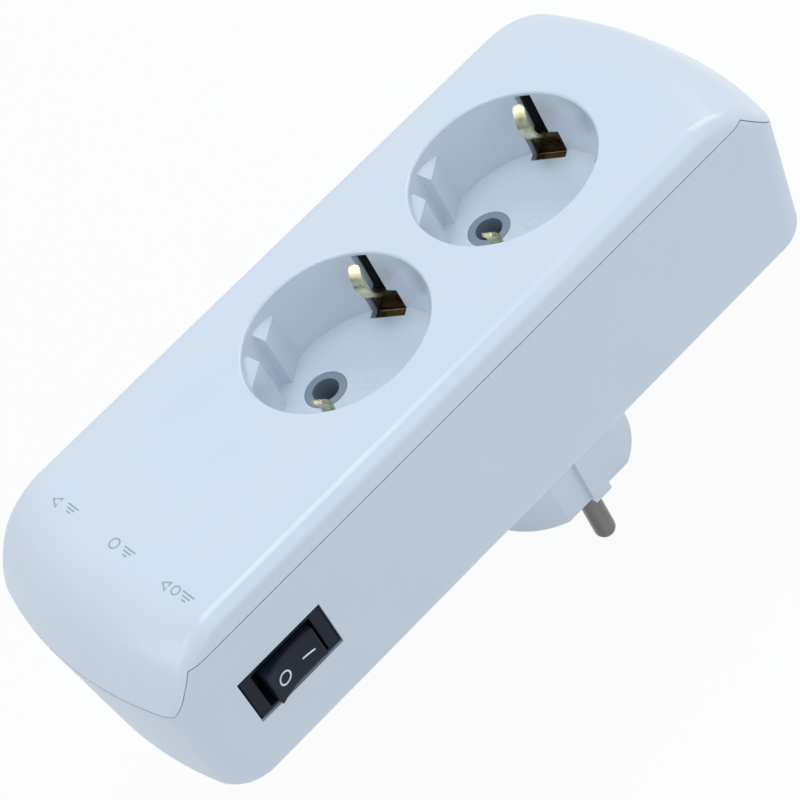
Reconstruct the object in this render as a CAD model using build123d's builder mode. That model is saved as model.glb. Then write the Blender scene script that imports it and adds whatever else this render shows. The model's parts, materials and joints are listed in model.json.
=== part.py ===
"""A two-way plug-in surge protector with a rocker switch on its side.

The frame: the origin is the middle of the plug's face, between its two pins. +Z points out of the
two sockets, +X runs along the case away from the switch, and the switch is in the -Y side.
"""

import os
from math import cos, radians, sin, sqrt, tan

from build123d import *

# Case: a drafted tray with bowed ends, and a cover whose ends slope down to meet it
case_length = 175.0
case_width = 63.0
case_height = 43.6
case_middle_x = -17.7
end_bow = 5.2
corner_radius = 6.0
back_corner_radius = 10.0
wall = 2.2
side_draft = 1.6
end_draft = 5.0
back_edge_radius = 2.2
top_edge_radius = 3.6
cover_side_height = 5.8
cover_end_height = 14.0
end_slope = 58.0
crease_radius = 18.0

# Seam between cover and tray: straight along the sides, then dipping towards the ends
seam_straight = 151.0
seam_dip_slope = 50.0
seam_bend_radius = 18.0
seam_foot_radius = 2.0
seam_gap = 0.3
tongue_height = 2.0
tongue_inset = 1.3
tongue_clearance = 0.15

# Case screws, driven from the back through posts
post_spacing_x = 148.0
post_side_inset = 8.5
post_radius = 3.6
post_join_depth = 16.0
screw_web = 6.0
screw_radius = 1.5
screw_head_radius = 2.9
screw_head_height = 2.2
screw_grip = 8.0
screw_clearance = 0.2
thread_clearance = 0.05

# Plug on the back
plug_radius = 18.8
plug_length = 27.1
plug_insert_length = 18.6
plug_flat = 16.6
plug_rib_width = 4.6
plug_rib_reach = 18.3
plug_edge_radius = 1.0
plug_face_thickness = 3.0
plug_cavity_radius = 15.8
pin_pitch = 19.0
pin_radius = 2.4
pin_length = 19.0
pin_neck_radius = 2.8
pin_collar_radius = 3.6
pin_collar_height = 2.0
pin_stem_radius = 1.9
pin_stem_rise = 5.0
pin_fit = 0.1
carrier_disc_height = 6.0
carrier_fit = 0.25

# Earth bracket of the plug: one strip bent to a U, its legs in recesses on the plug's sides
bracket_width = 6.0
bracket_thickness = 0.8
bracket_reach = 15.8
bracket_rise = 13.0
bracket_bend = 1.2
bracket_clearance = 0.3
bracket_foot = 0.8

# Sockets
socket_pitch = 47.0
socket_middle_x = -1.2
socket_turn = 35.5
well_radius = 19.8
well_depth = 17.5
well_wall = 2.0
well_lip_radius = 0.6
guide_flat = 17.5
guide_groove_width = 5.2
guide_ledge_top = 1.9
guide_ledge_foot = 4.2
contact_hole_radius = 2.9
collar_radius = 4.5
collar_clearance = 0.1

# Earth clips of the sockets: one strip under each well, bent up at both ends
clip_thickness = 0.7
clip_root_width = 6.8
clip_finger_width = 2.6
clip_root_reach = 21.0
clip_slot_clearance = 0.4
clip_slot_top = 1.0
clip_slot_step = 12.0
clip_bend = 0.9
clip_finger_bend = 2.0
clip_shoulder = (15.2, -9.0)
clip_nose = (13.7, -3.9)
clip_tip = (16.4, -0.5)

# Contact carriers under the wells, and the strips that run between them
carrier_boss_height = 3.0
carrier_boss_radius = 3.2
carrier_boss_place = (9.0, 7.0)
carrier_plate = 2.0
carrier_margin = 1.6
contact_tube_radius = 3.2
contact_tube_bore = 2.45
contact_tube_slit = 0.8
contact_housing_wall = 1.4
contact_housing_height = 8.5
contact_clearance = 0.2
strip_thickness = 0.8
strip_width = 8.0
strip_overhang = 6.0
link_width = 5.0
link_thickness = 0.7
link_overhang = 24.3
carrier_screw_radius = 1.2
carrier_screw_head_radius = 2.3
carrier_screw_head_height = 1.6
carrier_screw_grip = 2.4

# Rocker switch in the side
switch_x = -76.75
switch_depth_below_face = 24.0
frame_length = 21.6
frame_height = 12.5
frame_clearance = 0.1
frame_recess = 0.3
frame_chamfer = 0.45
flange_margin = 1.6
flange_thickness = 1.6
switch_body_length = 19.4
switch_body_height = 11.4
switch_body_depth = 10.5
pocket_length = 15.6
pocket_height = 10.4
pocket_depth = 6.2
rocker_length = 13.1
rocker_height = 8.7
rocker_end_rise = 1.9
rocker_middle_rise = 1.0
rocker_edge_radius = 0.35
rocker_skirt_taper = 0.35
rocker_skirt_depth = 2.2
rocker_keel = 2.2
rocker_tilt = 4.5
pivot_depth = 3.2
pivot_radius = 1.1
pivot_seat = 0.6
pivot_clearance = 0.12
terminal_width = 4.8
terminal_thickness = 0.8
terminal_length = 6.5
terminal_pitch = 10.0

# Circuit board under the cover, components hanging from it
board_length = 36.0
board_side_margin = 7.5
board_thickness = 1.6
board_depth_below_face = 12.0
board_gap = 4.5
board_corner_radius = 2.0
board_boss_radius = 2.6
board_boss_inset = 4.0
board_screw_radius = 1.2
board_screw_head_radius = 2.2
board_screw_head_height = 1.5
board_screw_grip = 5.0
led_radius = 1.5
led_flange_radius = 1.9
led_flange_height = 1.0
led_height = 5.4
led_side_inset = 4.8
led_middle_y = -1.3
led_row_inset = 9.0
resistor_radius = 1.2
resistor_length = 6.5
resistor_lead_radius = 0.3
resistor_lead_reach = 1.6
resistor_from_led = 8.0
varistor_radius = 7.0
varistor_thickness = 4.4
varistor_edge = 1.2
varistor_lead_radius = 0.4
varistor_lead_pitch = 7.5
varistor_standoff = 2.0
varistor_pitch = 9.0
varistor_row_y = 15.0
capacitor_size = (7.0, 10.0, 11.0)
capacitor_edge = 0.6
capacitor_place = (7.0, -17.0)
fuse_radius = 2.6
fuse_length = 20.0
fuse_cap_length = 5.0
fuse_cap_thickness = 0.15
fuse_place = (-2.0, 3.5)
fuse_clip_length = 4.0
fuse_clip_wall = 0.7
fuse_clip_clearance = 0.05
fuse_standoff = 1.0
arrester_radius = 4.0
arrester_length = 6.0
arrester_lead_radius = 0.4
arrester_standoff = 1.5
arrester_place = (4.0, -6.5)

# Wires inside the case
wire_radius = 1.4
board_wire_radius = 1.1
wire_bend = 4.0
board_wire_bend = 2.2
live_in_lead = 8.0
floor_lane = 3.2

# Heights and places that follow from the sizes above
back_z = plug_length
top_z = plug_length + case_height
seam_z = top_z - cover_side_height
end_seam_z = top_z - cover_end_height
bow_radius = ((case_width / 2) ** 2 + end_bow**2) / (2 * end_bow)
bow_centre_offset = bow_radius - case_length / 2
floor_z = top_z - well_depth
floor_underside_z = floor_z - well_wall
plate_top_z = floor_underside_z - carrier_boss_height
plate_bottom_z = plate_top_z - carrier_plate
housing_bottom_z = plate_bottom_z - contact_housing_height
strip_bottom_z = housing_bottom_z - strip_thickness
strip_middle_z = housing_bottom_z - strip_thickness / 2
earth_strip_bottom_z = floor_underside_z - clip_thickness
link_bottom_z = earth_strip_bottom_z - link_thickness
link_middle_z = earth_strip_bottom_z - link_thickness / 2
join_z = top_z - post_join_depth
socket_xs = [socket_middle_x - socket_pitch / 2, socket_middle_x + socket_pitch / 2]
half_pins = pin_pitch / 2
contact_dx = half_pins * sin(radians(socket_turn))
contact_dy = half_pins * cos(radians(socket_turn))
housing_radius = contact_tube_radius + contact_clearance + contact_housing_wall
cup_radius = well_radius + well_wall
board_middle_x = socket_xs[0] - cup_radius - board_gap - board_length / 2
board_top_z = top_z - board_depth_below_face
board_bottom_z = board_top_z - board_thickness
switch_z = top_z - switch_depth_below_face
post_spacing_y = case_width - 2 * post_side_inset
board_width = case_width - 2 * board_side_margin
led_pitch = board_width / 2 - led_side_inset
board_boss_span_x = board_length - 2 * board_boss_inset
board_boss_span_y = board_width - 2 * board_boss_inset
far = case_length


def save(builder, name):
    """Label a finished piece and write it as parts/name.step."""
    builder.part.label = name
    export_step(builder.part, f"parts/{name}.step")


def socket_plane(x, z):
    """A plane at a socket's axis whose x runs along its earth clips and y along its pin holes."""
    turn = radians(socket_turn)
    return Plane(origin=(x, 0, z), x_dir=(cos(turn), sin(turn), 0), z_dir=(0, 0, 1))


def clip_plane(x):
    """The upright plane through a socket's two earth clips, measured from the socket face."""
    turn = radians(socket_turn)
    return Plane(
        origin=(x, 0, top_z), x_dir=(cos(turn), sin(turn), 0), z_dir=(sin(turn), -cos(turn), 0)
    )


def case_outline(z, inset):
    """The case's plan at one height: straight drafted sides and bowed drafted ends."""
    half_width = case_width / 2 - inset - (seam_z - z) * tan(radians(side_draft))
    half_length = case_length / 2 - inset - (end_seam_z - z) * tan(radians(end_draft))
    bow = bow_radius - sqrt(bow_radius**2 - half_width**2)
    straight = half_length - bow
    rounding = back_corner_radius - corner_radius
    corner = corner_radius + rounding * (seam_z - z) / (seam_z - back_z)
    with BuildSketch(Plane((case_middle_x, 0, z))) as outline:
        with BuildLine():
            Line((-straight, -half_width), (straight, -half_width))
            ThreePointArc((straight, -half_width), (half_length, 0), (straight, half_width))
            Line((straight, half_width), (-straight, half_width))
            ThreePointArc((-straight, half_width), (-half_length, 0), (-straight, -half_width))
        make_face()
        fillet(outline.vertices(), corner - inset)
    return outline.sketch


def case_form(inset):
    """The whole case as a solid, with every outer surface moved in by the inset."""
    roof_z = top_z - inset
    crease = bow_radius - cover_end_height / tan(radians(end_slope))
    crease -= inset * tan(radians(end_slope / 2))
    reach = 2 * cover_end_height
    with BuildPart() as form:
        loft([case_outline(back_z + inset, inset), case_outline(seam_z, inset)], ruled=True)
        extrude(case_outline(seam_z, inset), amount=cover_side_height - inset)
        if inset < back_edge_radius:
            fillet(form.faces().sort_by(Axis.Z)[0].edges(), back_edge_radius - inset)
        for end in (-1, 1):
            centre_x = case_middle_x - end * bow_centre_offset
            with BuildPart(mode=Mode.INTERSECT):
                with BuildSketch(Plane.XZ) as slope:
                    with BuildLine():
                        Polyline(
                            (centre_x, 0),
                            (centre_x + crease + reach, 0),
                            (centre_x + crease + reach, roof_z - reach * tan(radians(end_slope))),
                            (centre_x + crease, roof_z),
                            (centre_x, roof_z),
                            close=True,
                        )
                    make_face()
                    crease_corner = slope.vertices().sort_by_distance((centre_x + crease, roof_z, 0))[0]
                    fillet(crease_corner, crease_radius - inset)
                revolve(axis=Axis((centre_x, 0, 0), (0, 0, 1)))
                with BuildSketch(Plane((centre_x - end * far / 2, 0, 0))):
                    Rectangle(far, 2 * case_width)
                extrude(amount=roof_z)
        roof_edges = form.faces().filter_by(lambda face: face.normal_at().Z > 0.3).edges()
        rim = [edge for edge in roof_edges if sum(edge.is_same(other) for other in roof_edges) == 1]
        sides = [edge for edge in rim if abs(edge.center().Y) > corner_radius]
        edge_radius = min(top_edge_radius, crease_radius / 3)
        if inset < edge_radius:
            fillet(sides, edge_radius - inset)
    return form.part


def above_seam(rise):
    """Everything above the seam line when that line is lifted by the rise."""
    dip = (cover_end_height - cover_side_height) / tan(radians(seam_dip_slope))
    bend_x = seam_straight / 2
    foot_x = bend_x + dip
    with BuildPart() as region:
        with BuildSketch(Plane((case_middle_x, 0, rise), (1, 0, 0), (0, -1, 0))) as profile:
            with BuildLine():
                Polyline(
                    (-far, end_seam_z),
                    (-foot_x, end_seam_z),
                    (-bend_x, seam_z),
                    (bend_x, seam_z),
                    (foot_x, end_seam_z),
                    (far, end_seam_z),
                    (far, top_z + case_height),
                    (-far, top_z + case_height),
                    close=True,
                )
            make_face()
            corners = profile.vertices()
            bends = [v for v in corners if abs(abs(v.X - case_middle_x) - bend_x) < 0.01]
            fillet(bends, seam_bend_radius)
            corners = profile.vertices()
            feet = [v for v in corners if abs(abs(v.X - case_middle_x) - foot_x) < 0.01]
            fillet(feet, seam_foot_radius)
        extrude(amount=case_width, both=True)
    return region.part


def well_void(x):
    """The hollow of one socket: a round well with flat, grooved guides at both ends of its pin line."""
    turn = radians(socket_turn)
    ledge_plane = Plane(
        origin=(x, 0, top_z), x_dir=(-sin(turn), cos(turn), 0), z_dir=(cos(turn), sin(turn), 0)
    )
    with BuildPart() as void:
        with BuildSketch(socket_plane(x, top_z)):
            Circle(well_radius)
        extrude(amount=-well_depth)
        with BuildSketch(ledge_plane) as guides:
            with BuildLine():
                Polyline(
                    (guide_flat, -guide_ledge_foot),
                    (well_radius, -guide_ledge_top),
                    (well_radius + well_wall, -guide_ledge_top),
                    (well_radius + well_wall, -well_depth),
                    (guide_flat, -well_depth),
                    close=True,
                )
            make_face()
            mirror(about=Plane.YZ)
        extrude(amount=well_radius, both=True, mode=Mode.SUBTRACT)
        with BuildSketch(socket_plane(x, top_z)):
            Circle(well_radius)
            Rectangle(guide_groove_width, 3 * well_radius, mode=Mode.INTERSECT)
        extrude(amount=-well_depth)
    return void.part


def clip_slots(x):
    """The openings in one well's wall that its two earth clips stand in, narrow above and wide below."""
    finger_slot = clip_finger_width / 2 + clip_slot_clearance
    root_slot = clip_root_width / 2 + clip_slot_clearance
    slot_inner = guide_flat
    slot_outer = clip_root_reach + clip_thickness + clip_slot_clearance
    with BuildPart() as slots:
        for side in (-1, 1):
            middle = side * (slot_inner + slot_outer) / 2
            with BuildSketch(socket_plane(x, top_z - clip_slot_top)):
                with Locations((middle, 0)):
                    Rectangle(slot_outer - slot_inner, 2 * finger_slot)
            extrude(amount=clip_slot_top - clip_slot_step)
            with BuildSketch(socket_plane(x, top_z - clip_slot_step)):
                with Locations((middle, 0)):
                    Rectangle(slot_outer - slot_inner, 2 * root_slot)
            extrude(amount=clip_slot_step - well_depth - well_wall)
    return slots.part


def tube(points, radius, bend):
    """A round wire along straight runs joined by tangent arcs."""
    with BuildPart() as wire:
        with BuildLine() as route:
            FilletPolyline(*points, radius=bend)
        start = route.wires()[0]
        with BuildSketch(Plane(origin=start @ 0, z_dir=start % 0)):
            Circle(radius)
        sweep()
    return wire


def pan_screw(radius, length, head_radius, head_height):
    """A screw along +Z with its head's seat at the origin and a cross recess in its head."""
    recess_depth = head_height / 2
    recess_length = 1.2 * head_radius
    recess_width = 0.25 * head_radius
    with BuildPart() as screw:
        Cylinder(radius, length, align=(Align.CENTER, Align.CENTER, Align.MIN))
        chamfer(screw.faces().sort_by(Axis.Z)[-1].edges(), radius / 2)
        with BuildSketch():
            Circle(head_radius)
        extrude(amount=-head_height)
        fillet(screw.faces().sort_by(Axis.Z)[0].edges(), head_height / 3)
        with BuildSketch(Plane.XY.offset(-head_height)):
            Rectangle(recess_length, recess_width)
            Rectangle(recess_width, recess_length)
        extrude(amount=recess_depth, mode=Mode.SUBTRACT)
    return screw.part


def seam_tongue():
    """The thin rim on the tray that stands up inside the cover and closes the seam."""
    with BuildPart() as tongue:
        add(above_seam(-seam_gap - tongue_height))
        add(above_seam(tongue_height), mode=Mode.SUBTRACT)
        add(case_form(tongue_inset), mode=Mode.INTERSECT)
        add(inner_form, mode=Mode.SUBTRACT)
    return tongue.part


def tongue_relief():
    """The step inside the cover's edge that leaves room for the tongue."""
    with BuildPart() as relief:
        add(case_form(tongue_inset - tongue_clearance))
        add(case_form(wall + tongue_clearance), mode=Mode.SUBTRACT)
        add(above_seam(tongue_height + tongue_clearance), mode=Mode.SUBTRACT)
    return relief.part


os.makedirs("parts", exist_ok=True)
outer_form = case_form(0)
inner_form = case_form(wall)
boss_x, boss_y = carrier_boss_place
carrier_bosses = [(boss_x, boss_y), (-boss_x, -boss_y)]
contact_places = [(0, half_pins), (0, -half_pins)]

# Top cover: shell, the two wells, posts for the case screws and bosses for the board
with BuildPart() as top_cover:
    add(outer_form)
    add(inner_form, mode=Mode.SUBTRACT)
    add(above_seam(0), mode=Mode.INTERSECT)
    with BuildSketch(Plane.XY.offset(floor_underside_z)):
        with Locations(*[(x, 0) for x in socket_xs]):
            Circle(cup_radius)
    extrude(amount=well_depth + well_wall - wall / 2)
    with BuildSketch(Plane((case_middle_x, 0, join_z))):
        with GridLocations(post_spacing_x, post_spacing_y, 2, 2):
            Circle(post_radius)
    extrude(amount=post_join_depth - wall / 2)
    with BuildSketch(Plane((board_middle_x, 0, board_top_z))):
        with GridLocations(board_boss_span_x, board_boss_span_y, 2, 2):
            Circle(board_boss_radius)
    extrude(amount=board_depth_below_face - wall / 2)
    add(outer_form, mode=Mode.INTERSECT)
    add(tongue_relief(), mode=Mode.SUBTRACT)
    for x in socket_xs:
        with BuildSketch(socket_plane(x, plate_top_z)):
            with Locations(*carrier_bosses):
                Circle(carrier_boss_radius)
        extrude(amount=carrier_boss_height)
        add(well_void(x), mode=Mode.SUBTRACT)
        add(clip_slots(x), mode=Mode.SUBTRACT)
        with BuildSketch(socket_plane(x, floor_z)):
            with Locations(*contact_places):
                Circle(collar_radius + collar_clearance)
        extrude(amount=-well_wall, mode=Mode.SUBTRACT)
        with BuildSketch(socket_plane(x, plate_top_z)):
            with Locations(*carrier_bosses):
                Circle(carrier_screw_radius + thread_clearance)
        extrude(amount=carrier_screw_grip + screw_clearance, mode=Mode.SUBTRACT)
    with BuildSketch(Plane((case_middle_x, 0, join_z))):
        with GridLocations(post_spacing_x, post_spacing_y, 2, 2):
            Circle(screw_radius + thread_clearance)
    extrude(amount=screw_grip + screw_clearance, mode=Mode.SUBTRACT)
    with BuildSketch(Plane((board_middle_x, 0, board_top_z))):
        with GridLocations(board_boss_span_x, board_boss_span_y, 2, 2):
            Circle(board_screw_radius + thread_clearance)
    extrude(amount=board_screw_grip + screw_clearance, mode=Mode.SUBTRACT)
    rims = top_cover.edges().filter_by(GeomType.CIRCLE).filter_by_position(Axis.Z, top_z, top_z)
    fillet([rim for rim in rims if abs(rim.radius - well_radius) < well_lip_radius], well_lip_radius)
save(top_cover, "top_cover")

# Switch plane: in the drafted side wall, x along the case, y up the wall and z outwards
draft = radians(side_draft)
switch_wall_y = -(case_width / 2 - (seam_z - switch_z) * tan(draft))
switch_plane = Plane(
    origin=(switch_x, switch_wall_y, switch_z), x_dir=(1, 0, 0), z_dir=(0, -cos(draft), -sin(draft))
)
pivot_point = switch_plane.from_local_coords((0, 0, -pivot_depth))
pivot_plane = Plane(origin=pivot_point, x_dir=(1, 0, 0), z_dir=(0, sin(draft), -cos(draft)))

# Base case: the tray, its tongue, the screw posts and the plug on its back
recess_inner = bracket_reach - bracket_thickness / 2 - bracket_clearance
recess_outer = plug_radius + bracket_clearance
recess_half_width = bracket_width / 2 + bracket_clearance
recess_top = bracket_rise + bracket_thickness / 2 + bracket_clearance
window_height = bracket_thickness + bracket_bend + 2 * bracket_clearance
cavity_half_x = recess_inner - wall / 2
cavity_half_y = plug_flat - wall
pin_places = [(0, half_pins), (0, -half_pins)]
with BuildPart() as base_case:
    add(outer_form)
    add(inner_form, mode=Mode.SUBTRACT)
    add(above_seam(-seam_gap), mode=Mode.SUBTRACT)
    add(seam_tongue())
    with BuildSketch(Plane((case_middle_x, 0, back_z))):
        with GridLocations(post_spacing_x, post_spacing_y, 2, 2):
            Circle(post_radius)
    extrude(amount=join_z - back_z)
    for bottom, top, recessed in ((0, recess_top, True), (recess_top, plug_insert_length, False)):
        with BuildSketch(Plane.XY.offset(bottom)):
            Circle(plug_radius)
            Rectangle(3 * plug_radius, 2 * plug_flat, mode=Mode.INTERSECT)
            Rectangle(plug_rib_width, 2 * plug_rib_reach)
            if recessed:
                with GridLocations(recess_inner + recess_outer, 1, 2, 1):
                    Rectangle(recess_outer - recess_inner, 2 * recess_half_width, mode=Mode.SUBTRACT)
        extrude(amount=top - bottom)
    with BuildSketch(Plane.XY.offset(plug_insert_length)):
        Circle(plug_radius)
    extrude(amount=plug_length + wall / 2 - plug_insert_length)
    face_edges = base_case.faces().sort_by(Axis.Z)[0].outer_wire().edges()
    recess_edges = face_edges.filter_by(
        lambda edge: abs(edge.center().X) > recess_inner - bracket_clearance
        and abs(edge.center().Y) < recess_half_width + bracket_clearance
    )
    fillet([edge for edge in face_edges if edge not in recess_edges], plug_edge_radius)
    with BuildSketch(Plane.XY.offset(plug_face_thickness)) as cavity:
        Circle(plug_cavity_radius)
        Rectangle(2 * cavity_half_x, 2 * cavity_half_y, mode=Mode.INTERSECT)
    extrude(amount=plug_length + wall - plug_face_thickness, mode=Mode.SUBTRACT)
    for side in (-1, 1):
        with BuildSketch(Plane.XY.offset(recess_top - window_height)):
            with Locations((side * recess_inner, 0)):
                Rectangle(2 * wall, 2 * recess_half_width)
        extrude(amount=window_height, mode=Mode.SUBTRACT)
    with BuildSketch():
        with Locations(*pin_places):
            Circle(pin_neck_radius + pin_fit)
    extrude(amount=plug_face_thickness, mode=Mode.SUBTRACT)
    with BuildSketch(Plane((case_middle_x, 0, back_z))):
        with GridLocations(post_spacing_x, post_spacing_y, 2, 2):
            Circle(screw_head_radius + screw_clearance)
    extrude(amount=join_z - screw_web - back_z, mode=Mode.SUBTRACT)
    with BuildSketch(Plane((case_middle_x, 0, back_z))):
        with GridLocations(post_spacing_x, post_spacing_y, 2, 2):
            Circle(screw_radius + screw_clearance)
    extrude(amount=join_z - back_z, mode=Mode.SUBTRACT)
    with BuildSketch(switch_plane.offset(wall)):
        Rectangle(frame_length + 2 * frame_clearance, frame_height + 2 * frame_clearance)
    extrude(amount=-3 * wall, mode=Mode.SUBTRACT)
save(base_case, "base_case")

# Switch housing: a frame that fills the opening, a flange behind the wall and a body
flange_z = -wall - flange_thickness
body_end_z = flange_z - switch_body_depth
with BuildPart() as switch_housing:
    with BuildSketch(switch_plane.offset(-frame_recess)):
        Rectangle(frame_length, frame_height)
    extrude(amount=frame_recess - wall)
    chamfer(
        switch_housing.faces().filter_by(Axis(switch_plane.origin, switch_plane.z_dir))
        .sort_by(Axis(switch_plane.origin, switch_plane.z_dir))[-1].edges(),
        frame_chamfer,
    )
    with BuildSketch(switch_plane.offset(-wall)):
        Rectangle(frame_length + 2 * flange_margin, frame_height + 2 * flange_margin)
    extrude(amount=-flange_thickness)
    with BuildSketch(switch_plane.offset(flange_z)):
        Rectangle(switch_body_length, switch_body_height)
    extrude(amount=-switch_body_depth)
    with BuildSketch(switch_plane):
        Rectangle(pocket_length, pocket_height)
    extrude(amount=-pocket_depth, mode=Mode.SUBTRACT)
    with BuildSketch(pivot_plane):
        Circle(pivot_radius + pivot_clearance)
    extrude(amount=pocket_height / 2 + pivot_seat + pivot_clearance, both=True, mode=Mode.SUBTRACT)
save(switch_housing, "switch_housing")

# Rocker: a dished button on two trunnions, tipped to the switch's on side
rocker_plane = pivot_plane.rotated((0, 0, rocker_tilt))
end_z = pivot_depth + rocker_end_rise
skirt_z = end_z - rocker_end_rise - rocker_skirt_depth
half_face = rocker_length / 2
half_skirt = half_face - rocker_skirt_taper
with BuildPart() as rocker_button:
    with BuildSketch(rocker_plane):
        with BuildLine():
            ThreePointArc(
                (-half_face, end_z), (0, pivot_depth + rocker_middle_rise), (half_face, end_z)
            )
            Line((half_face, end_z), (half_skirt, skirt_z))
            ThreePointArc((half_skirt, skirt_z), (0, -rocker_keel), (-half_skirt, skirt_z))
            Line((-half_skirt, skirt_z), (-half_face, end_z))
        make_face()
    extrude(amount=rocker_height / 2, both=True)
    face_arc = rocker_button.faces().sort_by(Axis(pivot_point, switch_plane.z_dir))[-1]
    fillet(face_arc.edges(), rocker_edge_radius)
    with BuildSketch(rocker_plane):
        Circle(pivot_radius)
    extrude(amount=pocket_height / 2 + pivot_seat, both=True)
save(rocker_button, "rocker_button")

# Switch terminals: two flat tabs on the back of the switch body
terminal_us = [-terminal_pitch / 2, terminal_pitch / 2]
for index, u in enumerate(terminal_us, start=1):
    with BuildPart() as terminal:
        with BuildSketch(switch_plane.offset(body_end_z)):
            with Locations((u, 0)):
                Rectangle(terminal_thickness, terminal_width)
        extrude(amount=-terminal_length)
    save(terminal, f"switch_terminal_{index}")

# Contact carriers: a grey plate under each well whose collars show round the pin holes
for index, x in enumerate(socket_xs, start=1):
    with BuildPart() as contact_carrier:
        with BuildSketch(socket_plane(x, plate_top_z)):
            with Locations(*contact_places):
                Circle(housing_radius + carrier_margin)
            with Locations(*carrier_bosses):
                Circle(carrier_boss_radius)
            make_hull()
        extrude(amount=-carrier_plate)
        with BuildSketch(socket_plane(x, plate_top_z)):
            with Locations(*contact_places):
                Circle(collar_radius)
        extrude(amount=carrier_boss_height + well_wall)
        with BuildSketch(socket_plane(x, plate_bottom_z)):
            with Locations(*contact_places):
                Circle(housing_radius)
        extrude(amount=-contact_housing_height)
        with BuildSketch(socket_plane(x, plate_top_z)):
            Circle(link_width / 2)
        extrude(amount=link_bottom_z - plate_top_z)
        with BuildSketch(socket_plane(x, plate_bottom_z)):
            with Locations(*contact_places):
                Circle(contact_hole_radius)
        extrude(amount=floor_z - plate_bottom_z, mode=Mode.SUBTRACT)
        with BuildSketch(socket_plane(x, plate_bottom_z)):
            with Locations(*contact_places):
                Circle(contact_tube_radius + contact_clearance)
        extrude(amount=-contact_housing_height, mode=Mode.SUBTRACT)
        with BuildSketch(socket_plane(x, plate_top_z)):
            with Locations(*carrier_bosses):
                Circle(carrier_screw_radius + screw_clearance)
        extrude(amount=-carrier_plate, mode=Mode.SUBTRACT)
    save(contact_carrier, f"contact_carrier_{index}")

# Live and neutral strips: each carries one slit contact tube for each socket
strip_ends = {}
for name, side in (("live_strip", 1), ("neutral_strip", -1)):
    tube_xs = [x - side * contact_dx for x in socket_xs]
    strip_start = tube_xs[0] - strip_overhang
    strip_length = tube_xs[1] + strip_width / 2 - strip_start
    strip_ends[name] = strip_start
    with BuildPart() as strip:
        with BuildSketch(Plane((strip_start + strip_length / 2, side * contact_dy, housing_bottom_z))):
            Rectangle(strip_length, strip_width)
        extrude(amount=-strip_thickness)
        fillet(strip.edges().filter_by(Axis.Z), strip_width / 8)
        for x in tube_xs:
            with BuildSketch(Plane((x, side * contact_dy, housing_bottom_z))):
                Circle(contact_tube_radius)
                Circle(contact_tube_bore, mode=Mode.SUBTRACT)
                Rectangle(2 * contact_tube_radius, contact_tube_slit, mode=Mode.SUBTRACT)
            extrude(amount=contact_housing_height - contact_clearance)
    save(strip, name)

# Earth strips: bent under each well, with a springy clip at both ends
clip_root_z = -clip_slot_step - clip_thickness
clip_floor_z = -well_depth - well_wall
for index, x in enumerate(socket_xs, start=1):
    with BuildPart() as earth_strip:
        with BuildSketch(clip_plane(x)):
            with BuildLine():
                FilletPolyline(
                    (clip_root_reach, clip_root_z),
                    (clip_root_reach, clip_floor_z),
                    (-clip_root_reach, clip_floor_z),
                    (-clip_root_reach, clip_root_z),
                    radius=clip_bend,
                )
                offset(amount=clip_thickness, side=Side.LEFT)
            make_face()
        extrude(amount=clip_root_width / 2, both=True)
        with BuildSketch(clip_plane(x)):
            with BuildLine():
                FilletPolyline(
                    clip_tip,
                    clip_nose,
                    clip_shoulder,
                    (clip_root_reach, clip_root_z),
                    (clip_root_reach, clip_floor_z + clip_finger_bend),
                    radius=clip_finger_bend,
                )
                offset(amount=clip_thickness, side=Side.LEFT)
            make_face()
            mirror(about=Plane.YZ)
        extrude(amount=clip_finger_width / 2, both=True)
    save(earth_strip, f"earth_strip_{index}")

# Earth link: joins the two earth strips and reaches towards the board
link_start = socket_xs[0] - link_overhang
link_length = socket_xs[1] + link_width - link_start
with BuildPart() as earth_link:
    with BuildSketch(Plane((link_start + link_length / 2, 0, earth_strip_bottom_z))):
        Rectangle(link_length, link_width)
    extrude(amount=-link_thickness)
    fillet(earth_link.edges().filter_by(Axis.Z), link_width / 5)
save(earth_link, "earth_link")

# Plug pins: a round shank with a domed tip, a wider neck in the plug's face, a collar behind the
# face and a stem to solder to
carrier_top_z = plug_face_thickness + carrier_disc_height
stem_top_z = carrier_top_z + pin_stem_rise
for name, side in (("plug_pin_live", 1), ("plug_pin_neutral", -1)):
    with BuildPart() as plug_pin:
        with BuildSketch(Plane((0, side * half_pins, -pin_length))):
            Circle(pin_radius)
        extrude(amount=pin_length)
        fillet(plug_pin.faces().sort_by(Axis.Z)[0].edges(), pin_radius - 2 * pin_fit)
        with BuildSketch(Plane((0, side * half_pins, 0))):
            Circle(pin_neck_radius)
        extrude(amount=plug_face_thickness)
        with BuildSketch(Plane((0, side * half_pins, plug_face_thickness))):
            Circle(pin_collar_radius)
        extrude(amount=pin_collar_height)
        with BuildSketch(Plane((0, side * half_pins, plug_face_thickness))):
            Circle(pin_stem_radius)
        extrude(amount=stem_top_z - plug_face_thickness)
    save(plug_pin, name)

# Pin carrier: holds both pins against the plug's face and carries the earth bracket
with BuildPart() as pin_carrier:
    with BuildSketch(Plane.XY.offset(plug_face_thickness)):
        Circle(plug_cavity_radius - carrier_fit)
        Rectangle(2 * (cavity_half_x - carrier_fit), 2 * (cavity_half_y - carrier_fit), mode=Mode.INTERSECT)
    extrude(amount=carrier_disc_height)
    with BuildSketch(Plane.XY.offset(carrier_top_z)):
        Rectangle(2 * bracket_width, bracket_width)
    extrude(amount=bracket_rise - bracket_thickness / 2 - carrier_top_z)
    with BuildSketch(Plane.XY.offset(plug_face_thickness)):
        with Locations(*pin_places):
            Circle(pin_collar_radius + pin_fit)
    extrude(amount=pin_collar_height, mode=Mode.SUBTRACT)
    with BuildSketch(Plane.XY.offset(plug_face_thickness)):
        with Locations(*pin_places):
            Circle(pin_stem_radius + pin_fit)
    extrude(amount=carrier_disc_height, mode=Mode.SUBTRACT)
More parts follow.
